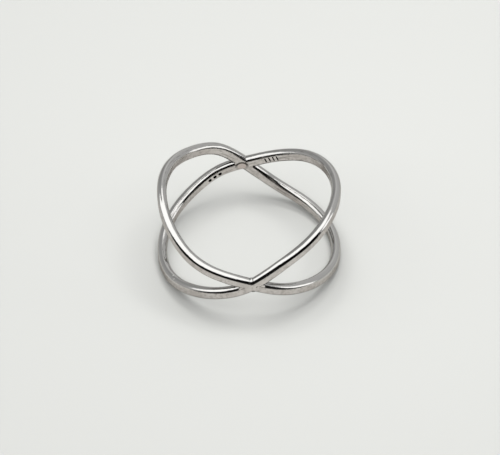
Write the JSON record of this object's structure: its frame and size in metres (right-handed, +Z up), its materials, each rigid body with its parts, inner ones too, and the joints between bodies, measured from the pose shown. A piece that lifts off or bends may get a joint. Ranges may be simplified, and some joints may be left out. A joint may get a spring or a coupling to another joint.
{
  "type": "crossover ring",
  "caption": "Slim finger ring of two closed, oppositely tilted wire loops that cross and are soldered at the front and the back.",
  "frame": {"origin": "on the axis of the finger hole, at the surface that the ring lies on", "axes": "+Z up along the axis of the finger hole, with the ring lying on its side; -Y towards the front crossing, which is nearest the camera; +X to the camera's right"},
  "size_m": [0.0192, 0.0192, 0.0103],
  "materials": {
    "silver": "polished sterling silver, filed and buffed by hand, with faint scratches and small nicks"
  },
  "bodies": {
    "root": {"crossover_band": "silver"}
  },
  "joints": []
}
